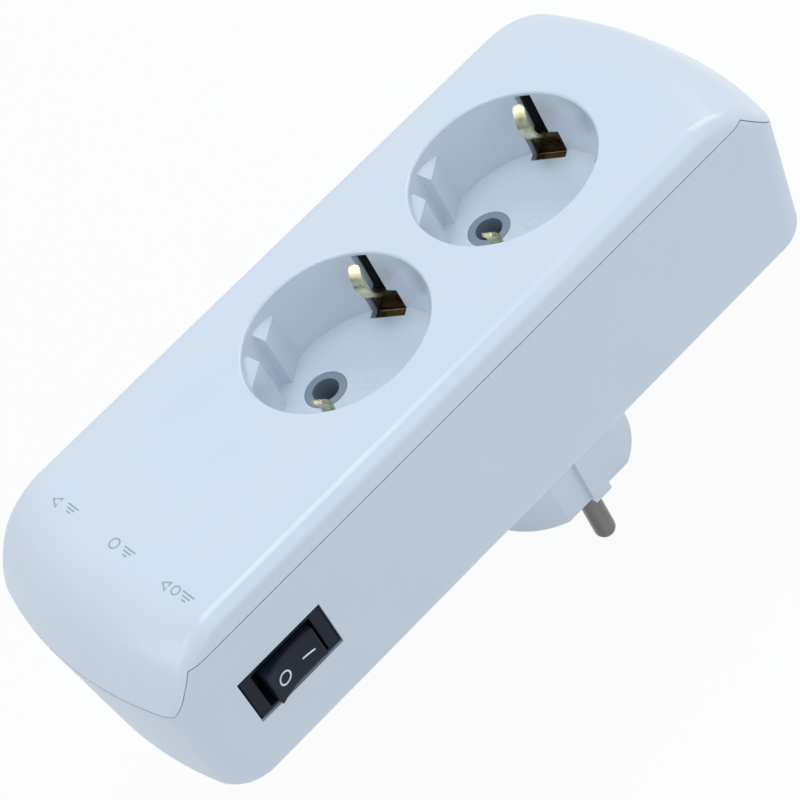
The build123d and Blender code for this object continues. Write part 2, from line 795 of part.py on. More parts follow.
save(pin_carrier, "plug_pin_carrier")

# Earth bracket of the plug
bracket_inner = bracket_reach - bracket_thickness / 2
bracket_under = bracket_rise - bracket_thickness / 2
with BuildPart() as plug_earth_bracket:
    with BuildSketch(Plane.XZ):
        with BuildLine():
            FilletPolyline(
                (-bracket_inner, bracket_foot),
                (-bracket_inner, bracket_under),
                (bracket_inner, bracket_under),
                (bracket_inner, bracket_foot),
                radius=bracket_bend,
            )
            offset(amount=bracket_thickness, side=Side.LEFT)
        make_face()
    extrude(amount=bracket_width / 2, both=True)
save(plug_earth_bracket, "plug_earth_bracket")

# Circuit board, with a clearance hole for each of its screws
with BuildPart() as circuit_board:
    with BuildSketch(Plane((board_middle_x, 0, board_top_z))):
        RectangleRounded(board_length, board_width, board_corner_radius)
        with GridLocations(board_boss_span_x, board_boss_span_y, 2, 2):
            Circle(board_screw_radius + screw_clearance, mode=Mode.SUBTRACT)
    extrude(amount=-board_thickness)
save(circuit_board, "circuit_board")

# Indicator lamps on the board's upper side, each with its series resistor
led_x = board_middle_x - board_length / 2 + led_row_inset
for index in range(3):
    led_y = led_middle_y + (index - 1) * led_pitch
    with BuildPart() as led:
        with BuildSketch(Plane((led_x, led_y, board_top_z))):
            Circle(led_flange_radius)
        extrude(amount=led_flange_height)
        with BuildSketch(Plane((led_x, led_y, board_top_z))):
            Circle(led_radius)
        extrude(amount=led_height)
        fillet(led.faces().sort_by(Axis.Z)[-1].edges(), led_radius - 2 * thread_clearance)
    save(led, f"indicator_led_{index + 1}")
    resistor_x = led_x + resistor_from_led
    resistor_z = board_top_z + resistor_radius + thread_clearance
    lead_xs = [side * (resistor_length / 2 + resistor_lead_reach) for side in (-1, 1)]
    with BuildPart() as resistor:
        with BuildSketch(Plane(origin=(resistor_x, led_y, resistor_z), z_dir=(1, 0, 0))):
            Circle(resistor_radius)
        extrude(amount=resistor_length / 2, both=True)
        fillet(resistor.edges(), resistor_radius / 3)
        with BuildSketch(Plane(origin=(resistor_x, led_y, resistor_z), z_dir=(1, 0, 0))):
            Circle(resistor_lead_radius)
        extrude(amount=lead_xs[1] + resistor_lead_radius, both=True)
        with BuildSketch(Plane((resistor_x, led_y, resistor_z))):
            with Locations(*[(lead_x, 0) for lead_x in lead_xs]):
                Circle(resistor_lead_radius)
        extrude(amount=board_top_z - resistor_z)
    save(resistor, f"led_resistor_{index + 1}")

# Varistors: three lacquered discs hanging from the board on their leads
varistor_z = board_bottom_z - varistor_standoff - varistor_radius
for index in range(3):
    varistor_x = board_middle_x + (index - 1) * varistor_pitch
    with BuildPart() as varistor:
        with BuildSketch(Plane(origin=(varistor_x, varistor_row_y, varistor_z), z_dir=(1, 0, 0))):
            Circle(varistor_radius)
        extrude(amount=varistor_thickness / 2, both=True)
        fillet(varistor.edges(), varistor_edge)
        with BuildSketch(Plane((varistor_x, varistor_row_y, varistor_z))):
            with GridLocations(varistor_lead_pitch, varistor_lead_pitch, 1, 2):
                Circle(varistor_lead_radius)
        extrude(amount=board_bottom_z - varistor_z)
    save(varistor, f"varistor_{index + 1}")

# Film capacitor, standing on the board's underside
capacitor_length, capacitor_depth, capacitor_height = capacitor_size
with BuildPart() as film_capacitor:
    with BuildSketch(Plane((board_middle_x + capacitor_place[0], capacitor_place[1], board_bottom_z))):
        Rectangle(capacitor_length, capacitor_depth)
    extrude(amount=-capacitor_height)
    fillet(film_capacitor.edges().filter_by(Axis.Z), capacitor_edge)
    fillet(film_capacitor.faces().sort_by(Axis.Z)[0].edges(), capacitor_edge)
save(film_capacitor, "film_capacitor")

# Fuse in two clips
fuse_x = board_middle_x + fuse_place[0]
fuse_y = fuse_place[1]
fuse_z = board_bottom_z - fuse_standoff - fuse_radius
fuse_axis_plane = Plane(origin=(fuse_x, fuse_y, fuse_z), z_dir=(1, 0, 0))
with BuildPart() as fuse:
    with BuildSketch(fuse_axis_plane):
        Circle(fuse_radius - fuse_cap_thickness)
    extrude(amount=fuse_length / 2, both=True)
    for side in (-1, 1):
        with BuildSketch(fuse_axis_plane.offset(side * fuse_length / 2)):
            Circle(fuse_radius)
        extrude(amount=-side * fuse_cap_length)
save(fuse, "fuse")
clip_outer = fuse_radius + fuse_clip_clearance + fuse_clip_wall
with BuildPart() as fuse_clips:
    for side in (-1, 1):
        clip_x = fuse_x + side * (fuse_length - fuse_cap_length) / 2
        with BuildSketch(Plane((clip_x, fuse_y, board_bottom_z))):
            Rectangle(fuse_clip_length, 2 * clip_outer)
        extrude(amount=fuse_z - fuse_radius / 2 - board_bottom_z)
    with BuildSketch(fuse_axis_plane):
        Circle(fuse_radius + fuse_clip_clearance)
    extrude(amount=fuse_length, both=True, mode=Mode.SUBTRACT)
save(fuse_clips, "fuse_clips")

# Gas arrester on two leads
arrester_x = board_middle_x + arrester_place[0]
arrester_y = arrester_place[1]
arrester_z = board_bottom_z - arrester_standoff - arrester_radius
arrester_plane = Plane(origin=(arrester_x, arrester_y, arrester_z), z_dir=(1, 0, 0))
with BuildPart() as gas_arrester:
    with BuildSketch(arrester_plane):
        Circle(arrester_radius)
    extrude(amount=arrester_length / 2, both=True)
    fillet(gas_arrester.edges(), arrester_radius / 10)
    with BuildSketch(Plane((arrester_x, arrester_y, arrester_z))):
        with GridLocations(arrester_length / 2, 1, 2, 1):
            Circle(arrester_lead_radius)
    extrude(amount=board_bottom_z - arrester_z)
save(gas_arrester, "gas_arrester")

# Screws: case screws from the back, board screws and carrier screws from below
case_screw = pan_screw(screw_radius, screw_web + screw_grip, screw_head_radius, screw_head_height)
with BuildPart() as case_screws:
    with Locations((case_middle_x, 0, join_z - screw_web)):
        with GridLocations(post_spacing_x, post_spacing_y, 2, 2):
            add(case_screw)
save(case_screws, "case_screws")
board_screw = pan_screw(
    board_screw_radius,
    board_thickness + board_screw_grip,
    board_screw_head_radius,
    board_screw_head_height,
)
with BuildPart() as board_screws:
    with Locations((board_middle_x, 0, board_bottom_z)):
        with GridLocations(board_boss_span_x, board_boss_span_y, 2, 2):
            add(board_screw)
save(board_screws, "board_screws")
carrier_screw = pan_screw(
    carrier_screw_radius,
    carrier_plate + carrier_screw_grip,
    carrier_screw_head_radius,
    carrier_screw_head_height,
)
with BuildPart() as carrier_screws:
    for x in socket_xs:
        with Locations(socket_plane(x, plate_bottom_z)):
            with Locations(*[(u, v, 0) for u, v in carrier_bosses]):
                add(carrier_screw)
save(carrier_screws, "carrier_screws")

# Wires: each ends face to face with the pieces that it joins
terminal_end_z = body_end_z - terminal_length
terminal_ends = [switch_plane.from_local_coords((u, 0, terminal_end_z)) for u in terminal_us]
live_end_x = strip_ends["live_strip"]
neutral_end_x = strip_ends["neutral_strip"]
floor_lane_z = back_z + wall + floor_lane
wire_out_y = contact_dy - strip_width / 4
live_in_turn = switch_plane.from_local_coords((terminal_us[1], 0, terminal_end_z - live_in_lead))
live_out_lead = wire_out_y - terminal_ends[0].Y
live_out_turn = switch_plane.from_local_coords((terminal_us[0], 0, terminal_end_z - live_out_lead))
board_live_y = contact_dy + strip_width / 4
routes = {
    "live_wire_in": [
        (0, half_pins, stem_top_z),
        (0, half_pins, floor_lane_z),
        (-26, live_in_turn.Y, floor_lane_z),
        (-56, live_in_turn.Y, floor_lane_z + 2.5),
        live_in_turn,
        terminal_ends[1],
    ],
    "live_wire_out": [
        terminal_ends[0],
        live_out_turn,
        (live_end_x - 14, wire_out_y, strip_middle_z),
        (live_end_x, wire_out_y, strip_middle_z),
    ],
    "neutral_wire": [
        (0, -half_pins, stem_top_z),
        (0, -half_pins, stem_top_z + 9),
        (3, -contact_dy, strip_bottom_z - 9),
        (3, -contact_dy, strip_bottom_z),
    ],
    "earth_wire": [
        (4, 0, bracket_rise + bracket_thickness / 2),
        (4, 0, back_z),
        (socket_middle_x, 0, back_z + 9),
        (socket_middle_x, 0, link_bottom_z),
    ],
}
for name, points in routes.items():
    save(tube(points, wire_radius, wire_bend), name)
board_routes = {
    "board_live_wire": [
        (live_end_x, board_live_y, strip_middle_z),
        (live_end_x - 9, board_live_y, strip_middle_z),
        (board_middle_x + 15.5, 7, board_bottom_z - 12),
        (board_middle_x + 15.5, 7, board_bottom_z),
    ],
    "board_neutral_wire": [
        (neutral_end_x, -contact_dy, strip_middle_z),
        (neutral_end_x - 13, -contact_dy, strip_middle_z),
        (board_middle_x + 13, -6, board_bottom_z - 13),
        (board_middle_x + 13, -6, board_bottom_z),
    ],
    "board_earth_wire": [
        (link_start, 0, link_middle_z),
        (link_start - 5, 0, link_middle_z),
        (board_middle_x + 11, 0, board_bottom_z - 4),
        (board_middle_x + 11, 0, board_bottom_z),
    ],
}
for name, points in board_routes.items():
    save(tube(points, board_wire_radius, board_wire_bend), name)
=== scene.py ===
# %% [markdown]
# # A two-way plug-in surge protector
# The real object is a white moulded case with two earthed sockets in its face, a plug on its back
# and a small black rocker switch in one side. Its solids come packed from the CAD model and stay
# where they are. This script gives every piece its finish, adds the thin printed and moulded marks
# that a solid model has no use for, and sets up the studio around it.

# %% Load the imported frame
import json
import math

import bpy
from mathutils import Matrix, Vector


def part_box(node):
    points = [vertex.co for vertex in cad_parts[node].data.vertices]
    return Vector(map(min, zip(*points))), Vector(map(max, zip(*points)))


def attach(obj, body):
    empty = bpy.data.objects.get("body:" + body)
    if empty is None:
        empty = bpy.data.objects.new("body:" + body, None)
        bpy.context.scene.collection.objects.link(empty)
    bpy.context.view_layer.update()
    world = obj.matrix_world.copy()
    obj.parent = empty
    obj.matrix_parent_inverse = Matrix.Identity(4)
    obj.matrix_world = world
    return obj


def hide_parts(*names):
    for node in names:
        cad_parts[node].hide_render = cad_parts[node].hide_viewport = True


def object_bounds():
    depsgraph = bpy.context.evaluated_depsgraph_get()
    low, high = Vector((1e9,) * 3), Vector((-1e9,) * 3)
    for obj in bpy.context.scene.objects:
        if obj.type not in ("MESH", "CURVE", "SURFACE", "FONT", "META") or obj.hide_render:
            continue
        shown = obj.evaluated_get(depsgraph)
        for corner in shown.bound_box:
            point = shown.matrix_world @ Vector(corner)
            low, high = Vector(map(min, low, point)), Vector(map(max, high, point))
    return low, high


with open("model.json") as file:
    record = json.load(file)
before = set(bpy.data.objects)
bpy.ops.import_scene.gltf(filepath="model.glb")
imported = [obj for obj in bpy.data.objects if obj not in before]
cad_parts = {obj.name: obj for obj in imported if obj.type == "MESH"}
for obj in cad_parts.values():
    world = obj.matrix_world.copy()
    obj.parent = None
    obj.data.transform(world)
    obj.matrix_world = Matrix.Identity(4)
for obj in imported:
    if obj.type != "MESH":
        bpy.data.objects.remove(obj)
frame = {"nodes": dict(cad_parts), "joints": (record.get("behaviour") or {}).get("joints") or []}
cad_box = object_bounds()
MM = 0.001

# %% [markdown]
# ## Colours and nodes
# A colour picker shows sRGB, but a shader works in linear light, so each hex colour is converted
# once, here. Materials could be wired by hand, socket by socket. One small function that adds a
# node with its settings and its links keeps every material below short enough to read at a glance.


# %% Colour and node helpers
def linear(hex_colour):
    """An sRGB hex colour as linear red, green, blue and alpha."""
    channels = [int(hex_colour[start:start + 2], 16) / 255 for start in (1, 3, 5)]
    light = [c / 12.92 if c <= 0.04045 else ((c + 0.055) / 1.055) ** 2.4 for c in channels]
    return (*light, 1.0)


def add_node(tree, kind, settings=None, inputs=None):
    """Adds a node. An input given as another node's output is linked, any other value is set."""
    node = tree.nodes.new(kind)
    for name, value in (settings or {}).items():
        setattr(node, name, value)
    for name, value in (inputs or {}).items():
        if isinstance(value, bpy.types.NodeSocket):
            tree.links.new(value, node.inputs[name])
        else:
            node.inputs[name].default_value = value
    return node


# %% [markdown]
# ## A surface that isn't quite even
# No moulded or plated surface is one flat colour. Its shade drifts over centimetres, and its gloss
# and relief change over millimetres or less. Both could be painted, but noise on the object's own
# coordinates needs no unwrapping and is the same from every side. Sizes are given in millimetres.


# %% Base of every finish
# Nearly all values of a noise texture lie between these two
noise_low, noise_high = 0.3, 0.7


def surface(name, shades, drift, gloss, grain, relief, stretch=(1, 1, 1), **shader_values):
    """A material whose shade drifts and whose fine grain sets both gloss and relief.

    drift and grain are the sizes of those patterns and relief the grain's height, all in mm. gloss
    is the roughness on the grain's low and high spots. Returns the material and its shader node.
    """
    material = bpy.data.materials.new(name)
    material.use_nodes = True
    tree = material.node_tree
    tree.nodes.clear()
    where = add_node(tree, "ShaderNodeTexCoord").outputs["Object"]
    along = add_node(tree, "ShaderNodeMapping", None, {"Vector": where, "Scale": stretch})
    clouds = add_node(tree, "ShaderNodeTexNoise", None, {
        "Vector": along.outputs["Vector"], "Scale": 1 / (drift * MM), "Detail": 2.0})
    grains = add_node(tree, "ShaderNodeTexNoise", None, {
        "Vector": along.outputs["Vector"], "Scale": 1 / (grain * MM), "Detail": 3.0})
    shade = add_node(tree, "ShaderNodeMix", {"data_type": "RGBA"}, {
        0: clouds.outputs["Fac"], 6: linear(shades[0]), 7: linear(shades[1])})
    polish = add_node(tree, "ShaderNodeMapRange", None, {
        "Value": grains.outputs["Fac"], "From Min": noise_low, "From Max": noise_high,
        "To Min": gloss[0], "To Max": gloss[1]})
    bump = add_node(tree, "ShaderNodeBump", None, {
        "Height": grains.outputs["Fac"], "Distance": relief * MM})
    shader = add_node(tree, "ShaderNodeBsdfPrincipled", None, {
        "Base Color": shade.outputs[2], "Roughness": polish.outputs["Result"],
        "Normal": bump.outputs["Normal"], **shader_values})
    add_node(tree, "ShaderNodeOutputMaterial", None, {"Surface": shader.outputs["BSDF"]})
    return material, shader


# %% [markdown]
# ## The two whites of the case
# Cover and tray are both white ABS, moulded in different tools. The cover's tool is polished, so
# the face is glossy with only a faint waviness in its reflections. The tray's tool is spark-eroded,
# which leaves a satin side with a fine matt grain. The grain is really about 0.1 mm and would not
# show at this distance, so it is drawn at 0.7 mm.

# %% Moulded ABS, glossy and satin
finish = {}
finish["cover_plastic"], _ = surface(
    "polished_moulded_abs", ("#E2EAF1", "#E8EEF4"), drift=22, gloss=(0.17, 0.25), grain=5.0,
    relief=0.012, **{"IOR": 1.54})
finish["base_plastic"], _ = surface(
    "spark_eroded_moulded_abs", ("#DFE6ED", "#E4EAF0"), drift=18, gloss=(0.36, 0.5), grain=0.7,
    relief=0.008, **{"IOR": 1.54})
print("case finishes:", [material.name for material in finish.values()])

# %% [markdown]
# ## Black and grey nylon
# The switch is black glass-filled nylon: nearly no colour of its own, a soft sheen and a slight
# orange-peel from the tool. The contact carriers, whose collars show round the pin holes, are a
# cool grey nylon. A lower specular level keeps the black from turning grey in a white studio.

# %% Moulded nylon
finish["switch_plastic"], _ = surface(
    "black_moulded_nylon", ("#151C28", "#1C2431"), drift=6, gloss=(0.34, 0.5), grain=0.6,
    relief=0.006, **{"IOR": 1.53, "Specular IOR Level": 0.13})
finish["carrier_plastic"], _ = surface(
    "grey_moulded_nylon", ("#8C97A3", "#98A3AF"), drift=7, gloss=(0.4, 0.52), grain=0.8,
    relief=0.006, **{"IOR": 1.53})
print("nylon:", finish["switch_plastic"].name, finish["carrier_plastic"].name)

# %% [markdown]
# ## Plated and bare metal
# The plug's pins are brass under dull nickel. Each time they are pushed in, a socket's contacts draw
# streaks along them. The pattern is stretched along Z into light and dark streaks, partly those and partly
# painted reflections of a round pin. The strips and contacts inside are drawn brass, with lines along the
# strip, and the screws are zinc-plated steel.

# %% Nickel plate, brass and zinc plate
# The pins' light and dark streaks are partly painted reflection, the bands that a round pin reflects
finish["plated_brass"], _ = surface(
    "nickel_plated_brass", ("#4A4C50", "#8A8A88"), drift=2.4, gloss=(0.24, 0.4), grain=0.9,
    relief=0.004, stretch=(1, 1, 0.12), **{"Metallic": 1.0})
finish["brass"], _ = surface(
    "drawn_strip_brass", ("#B0A87E", "#D6D0AC"), drift=3.5, gloss=(0.2, 0.38), grain=1.0,
    relief=0.006, stretch=(1, 4, 1), **{"Metallic": 1.0})
finish["screw_steel"], _ = surface(
    "zinc_plated_steel", ("#A6ABAF", "#BCC0C2"), drift=2, gloss=(0.28, 0.45), grain=0.5,
    relief=0.004, **{"Metallic": 1.0})
print("finishes so far:", sorted(finish))

# %% [markdown]
# ## Lacquers, cases and insulation inside
# The surge parts are dipped in epoxy, which draws to a glossy skin with a slight orange-peel. The
# capacitor is a moulded box, the lamps are diffused epoxy, and the wires have soft PVC skins.
# None of them shows with the case shut, but each still gets the finish that it has on the bench.

# %% Dipped epoxy, moulded boxes and PVC
finish["varistor_lacquer"], _ = surface(
    "dipped_blue_epoxy", ("#23509A", "#2E61AF"), drift=4, gloss=(0.18, 0.3), grain=1.4,
    relief=0.03, **{"IOR": 1.55})
finish["capacitor_plastic"], _ = surface(
    "moulded_yellow_polyester", ("#CFA437", "#DDB548"), drift=5, gloss=(0.36, 0.48), grain=0.6,
    relief=0.006, **{"IOR": 1.54})
finish["lamp_plastic"], _ = surface(
    "diffused_red_epoxy", ("#A81F1A", "#C02A22"), drift=2, gloss=(0.2, 0.3), grain=0.6,
    relief=0.004, **{"IOR": 1.53, "Transmission Weight": 0.35})
finish["brown_insulation"], _ = surface(
    "brown_pvc", ("#50301F", "#5E3A28"), drift=5, gloss=(0.4, 0.52), grain=0.7,
    relief=0.006, **{"IOR": 1.53})
finish["blue_insulation"], _ = surface(
    "blue_pvc", ("#1F559F", "#2A63AE"), drift=5, gloss=(0.4, 0.52), grain=0.7,
    relief=0.006, **{"IOR": 1.53})
print("finishes so far:", len(finish))

# %% [markdown]
# ## Bands and stripes
# Some pieces wear two or more finishes in bands: a resistor's colour code, the metal caps of a fuse
# or arrester, and the stripe along an earth wire. They could be separate meshes, but a constant
# colour ramp on one object coordinate puts the bands exactly where the solid has them.


# %% Band helper
def paint_bands(material, shader, axis, start, end, bands, metal=None):
    """Colours a material in bands along an axis from start to end, in metres.

    bands gives each band's start, as a share of the way, and its colour. metal lists the same for
    how metallic it is, from 0 to 1.
    """
    tree = material.node_tree
    where = add_node(tree, "ShaderNodeTexCoord").outputs["Object"]
    split = add_node(tree, "ShaderNodeSeparateXYZ", None, {"Vector": where})
    share = add_node(tree, "ShaderNodeMapRange", None, {
        "Value": split.outputs[axis], "From Min": start, "From Max": end})
    stripes = [(place, linear(colour)) for place, colour in bands]
    plated = [(place, (level, level, level, 1.0)) for place, level in metal or []]
    for socket, stops in (("Base Color", stripes), ("Metallic", plated)):
        if not stops:
            continue
        ramp = add_node(tree, "ShaderNodeValToRGB", None, {"Fac": share.outputs["Result"]})
        ramp.color_ramp.interpolation = "CONSTANT"
        while len(ramp.color_ramp.elements) < len(stops):
            ramp.color_ramp.elements.new(1.0)
        for element, (place, colour) in zip(ramp.color_ramp.elements, stops):
            element.position = place
            element.color = colour
        tree.links.new(ramp.outputs["Color"], shader.inputs[socket])


# %% Resistors with their colour code
tin, lacquer = "#A9ADB0", "#C9B48C"
low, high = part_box("led_resistor_1")
finish["resistor_lacquer"], shader = surface(
    "banded_resistor_lacquer", (lacquer, lacquer), drift=4, gloss=(0.3, 0.42), grain=0.8,
    relief=0.01, **{"IOR": 1.53})
paint_bands(
    finish["resistor_lacquer"], shader, "X", low.x, high.x,
    [(0.0, tin), (0.18, lacquer), (0.27, "#5A3824"), (0.34, lacquer), (0.42, "#141414"),
     (0.49, lacquer), (0.56, "#A8281E"), (0.63, lacquer), (0.71, "#B08D3C"), (0.76, lacquer),
     (0.82, tin)],
    [(0.0, 1.0), (0.18, 0.0), (0.82, 1.0)])
print("resistors:", finish["resistor_lacquer"].name)

# %% Capped fuse and arrester, and the striped earth wire
low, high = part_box("fuse")
finish["fuse_glass"], shader = surface(
    "capped_fuse_tube", (tin, tin), drift=4, gloss=(0.12, 0.22), grain=1.5, relief=0.004)
paint_bands(
    finish["fuse_glass"], shader, "X", low.x, high.x,
    [(0.0, tin), (0.25, "#DCE3DF"), (0.75, tin)], [(0.0, 1.0), (0.25, 0.0), (0.75, 1.0)])

low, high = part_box("gas_arrester")
finish["arrester_ceramic"], shader = surface(
    "capped_arrester_ceramic", (tin, tin), drift=4, gloss=(0.22, 0.34), grain=1.0, relief=0.006)
paint_bands(
    finish["arrester_ceramic"], shader, "Y", low.y, high.y,
    [(0.0, tin), (0.28, "#E4E1D8"), (0.72, tin)], [(0.0, 1.0), (0.28, 0.0), (0.72, 1.0)])

low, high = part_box("earth_wire")
green, yellow = "#2F7A3C", "#D9C22E"
finish["earth_insulation"], shader = surface(
    "striped_earth_pvc", (green, green), drift=5, gloss=(0.4, 0.52), grain=0.7,
    relief=0.006, **{"IOR": 1.53})
paint_bands(
    finish["earth_insulation"], shader, "Y", low.y, high.y,
    [(0.0, green), (0.32, yellow), (0.68, green)])
print("banded:", [finish[s].name for s in ("fuse_glass", "arrester_ceramic", "earth_insulation")])

# %% [markdown]
# ## The circuit board
# The board is glass-fibre laminate under a green solder mask. The weave of the glass prints through
# as a fine square relief. Two sets of sine bands, one along each edge of the board, give that
# weave. The real pitch is about 0.5 mm.

# %% Woven laminate
weave_pitch = 0.5
weave_relief = 0.02
finish["board_laminate"], shader = surface(
    "green_masked_laminate", ("#2C5E39", "#356B42"), drift=8, gloss=(0.26, 0.38), grain=0.6,
    relief=0.004, **{"IOR": 1.55})
tree = finish["board_laminate"].node_tree
where = add_node(tree, "ShaderNodeTexCoord").outputs["Object"]
# At a scale of 1 the bands of a wave texture are pi / 10 apart
weave_scale = math.pi / 10 / (weave_pitch * MM)
threads = [
    add_node(tree, "ShaderNodeTexWave", {"bands_direction": way}, {
        "Vector": where, "Scale": weave_scale}).outputs["Fac"]
    for way in ("X", "Y")]
crossing = add_node(tree, "ShaderNodeMath", {"operation": "MULTIPLY"}, {0: threads[0], 1: threads[1]})
cloth = add_node(tree, "ShaderNodeBump", None, {
    "Height": crossing.outputs["Value"], "Distance": weave_relief * MM})
tree.links.new(cloth.outputs["Normal"], shader.inputs["Normal"])
print("weave:", weave_pitch, "mm on", finish["board_laminate"].name)

# %% [markdown]
# ## Dressing the CAD nodes
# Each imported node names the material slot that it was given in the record. Its mesh and its place
# stay as they are, and only the material in its slot is exchanged for the finish made above.

# %% Assign the finishes
for name, node in frame["nodes"].items():
    for slot in node.material_slots:
        slot.material = finish[slot.material.name.split(".")[0]]
print("dressed:", len(frame["nodes"]), "nodes")

# %% [markdown]
# ## Earth clips
# Two brass springs stand in each well's wall and press on the sides of a plug. A clip is one strip,
# bent under the well and up at both ends into a narrow curved finger. It could stay as the plain
# bends of the solid, but the springy curve is what the eye looks for. So half a strip is drawn out
# edge by edge along its line, mirrored, rounded by a subdivision surface and given its thickness.

# %% Brass, with painted shade low on the strip
face_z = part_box("top_cover")[1].z
# Deeper under the face than the first, in mm, the strip is darkened as painted shade, and above the second
# it is a pale gold
painted_shade_depth, bright_depth = 13, 9
# The first colour is the brass darkened as painted shade, the second the pale gold of the fingers
painted_shade_brass, bright = "#6A5D49", "#E2DDBC"
# How far up the ramp of colours the height leads, and how far the smudges do, which are this big in mm
height_share, smudge_share = 0.7, 0.5
smudge_size = 1.8
clip_brass, shader = surface(
    "strip_brass_painted_shade", (painted_shade_brass, bright), drift=3.5, gloss=(0.18, 0.36), grain=1.0,
    relief=0.006, **{"Metallic": 1.0})
tree = clip_brass.node_tree
where = add_node(tree, "ShaderNodeTexCoord").outputs["Object"]
height = add_node(tree, "ShaderNodeSeparateXYZ", None, {"Vector": where}).outputs["Z"]
level = add_node(tree, "ShaderNodeMapRange", None, {
    "Value": height, "From Min": face_z - painted_shade_depth * MM, "From Max": face_z - bright_depth * MM,
    "To Max": height_share})
smudge = add_node(tree, "ShaderNodeTexNoise", None, {
    "Vector": where, "Scale": 1 / (smudge_size * MM), "Detail": 3.0})
shade_and_smudge = add_node(tree, "ShaderNodeMath", {"operation": "MULTIPLY_ADD"}, {
    0: smudge.outputs["Fac"], 1: smudge_share, 2: level.outputs["Result"]})
# Low down, in the slot, the strip's colour is darkened to brown as painted shade, and up on the fingers it
# is a pale gold
painted_slot_shade = add_node(tree, "ShaderNodeValToRGB", None, {"Fac": shade_and_smudge.outputs["Value"]})
for place, colour in ((0.45, "#877752"), (0.75, "#AEA374")):
    painted_slot_shade.color_ramp.elements.new(place).color = linear(colour)
painted_slot_shade.color_ramp.elements[0].position = 0.2
painted_slot_shade.color_ramp.elements[0].color = linear(painted_shade_brass)
painted_slot_shade.color_ramp.elements[-1].color = linear(bright)
tree.links.new(painted_slot_shade.outputs["Color"], shader.inputs["Base Color"])
print("clip finish:", clip_brass.name)


# %% Half a strip, drawn out along its line
def deselect():
    """Leaves nothing selected."""
    bpy.ops.object.select_all(action="DESELECT")


# The line through a socket's two clips is turned by this much from the case's length
socket_turn = math.radians(35.5)
strip_thickness = 0.7 * MM
# Half the strip's width at its root, along the finger and at the finger's tip, and its lowest level, in mm
root, finger, tip = 3.4, 1.3, 1.2
under_well = -19.85
# From under the well to the finger's tip: mm out from the socket's axis, mm up from the face, half width
clip_line = [
    (20.2, under_well, root), (21.2, -19.6, root), (21.35, -18.8, root), (21.35, -13.7, root),
    (21.35, -13.2, root), (21.35, -13.1, finger), (21.1, -12.6, finger), (20.0, -12.0, finger),
    (18.2, -11.3, finger), (16.6, -10.0, finger), (15.4, -7.9, finger), (14.8, -5.4, finger),
    (15.0, -3.1, finger), (15.9, -1.4, finger), (17.1, -0.6, tip)]
out, up, half = 2 * root, under_well, root
deselect()
bpy.ops.mesh.primitive_plane_add(size=2 * half * MM)
clip = bpy.context.active_object
clip.name = "socket_clip_1"
bpy.ops.object.mode_set(mode="EDIT")
bpy.ops.mesh.select_mode(type="VERT")
bpy.ops.mesh.select_all(action="SELECT")
bpy.ops.transform.translate(value=(half * MM, 0, up * MM))
bpy.ops.mesh.select_all(action="DESELECT")
bpy.ops.object.mode_set(mode="OBJECT")
for vertex in clip.data.vertices:
    vertex.select = vertex.co.x > half * MM
bpy.ops.object.mode_set(mode="EDIT")
for next_out, next_up, next_half in clip_line:
    step = ((next_out - out) * MM, 0, (next_up - up) * MM)
    bpy.ops.mesh.extrude_region_move(TRANSFORM_OT_translate={"value": step})
    bpy.ops.transform.resize(value=(1, next_half / half, 1))
    out, up, half = next_out, next_up, next_half
bpy.ops.object.mode_set(mode="OBJECT")
print("half strip:", len(clip.data.vertices), "points")

# %% Both halves, rounded and thickened, and a copy for the other socket
mirror = clip.modifiers.new("other_half", "MIRROR")
mirror.merge_threshold = 0.01 * MM
rounding = clip.modifiers.new("springy_curve", "SUBSURF")
rounding.levels = rounding.render_levels = 2
sheet = clip.modifiers.new("sheet", "SOLIDIFY")
sheet.thickness = strip_thickness
sheet.offset = 0
for modifier in (mirror, rounding, sheet):
    bpy.ops.object.modifier_apply(modifier=modifier.name)
bpy.ops.object.mode_set(mode="EDIT")
bpy.ops.mesh.select_all(action="SELECT")
bpy.ops.mesh.normals_make_consistent(inside=False)
bpy.ops.object.mode_set(mode="OBJECT")
bpy.ops.object.shade_smooth_by_angle(angle=math.radians(40))
bpy.ops.object.duplicate()
clip_copy = bpy.context.active_object
clip_copy.name = "socket_clip_2"
for piece, strip in ((clip, "earth_strip_1"), (clip_copy, "earth_strip_2")):
    low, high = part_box(strip)
    piece.location = ((low.x + high.x) / 2, (low.y + high.y) / 2, face_z)
    piece.rotation_euler.z = socket_turn
    deselect()
    piece.select_set(True)
    bpy.context.view_layer.objects.active = piece
    bpy.ops.object.transform_apply(location=True, rotation=True)
    piece.data.materials.append(clip_brass)
    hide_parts(strip)
    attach(piece, "case")
print("clips:", clip.name, clip_copy.name, len(clip.data.polygons), "faces each")

# %% [markdown]
# ## Ink
# Marks on such a case are pad-printed: a film of ink a few hundredths of a millimetre thick. The
# rocker's marks are white, and the marks that stand over the lamps are a soft grey.

# %% Pad-printing inks
white_ink, _ = surface(
    "white_pad_print", ("#E6EAEC", "#F0F2F3"), drift=2, gloss=(0.42, 0.56), grain=0.5, relief=0.003)
grey_ink, _ = surface(
    "grey_pad_print", ("#9FABB0", "#B2BDC3"), drift=1.2, gloss=(0.42, 0.56), grain=0.5, relief=0.003)
print("inks:", white_ink.name, grey_ink.name)

# %% [markdown]
# ## Flat marks that follow a surface
# A printed mark could be a texture, but a thin mesh stays sharp up close and is kept in the exported
# model. Each starts as a flat disc that is inset to a line, or as a flat bar. It is laid on its carrier
# with a shrinkwrap and gets its thickness last. The rocker is dished, so a flat mark alone would sink
# in or float.


# %% Mark helpers
# How much of a bar's width its corners are rounded by
bar_rounding = 0.4


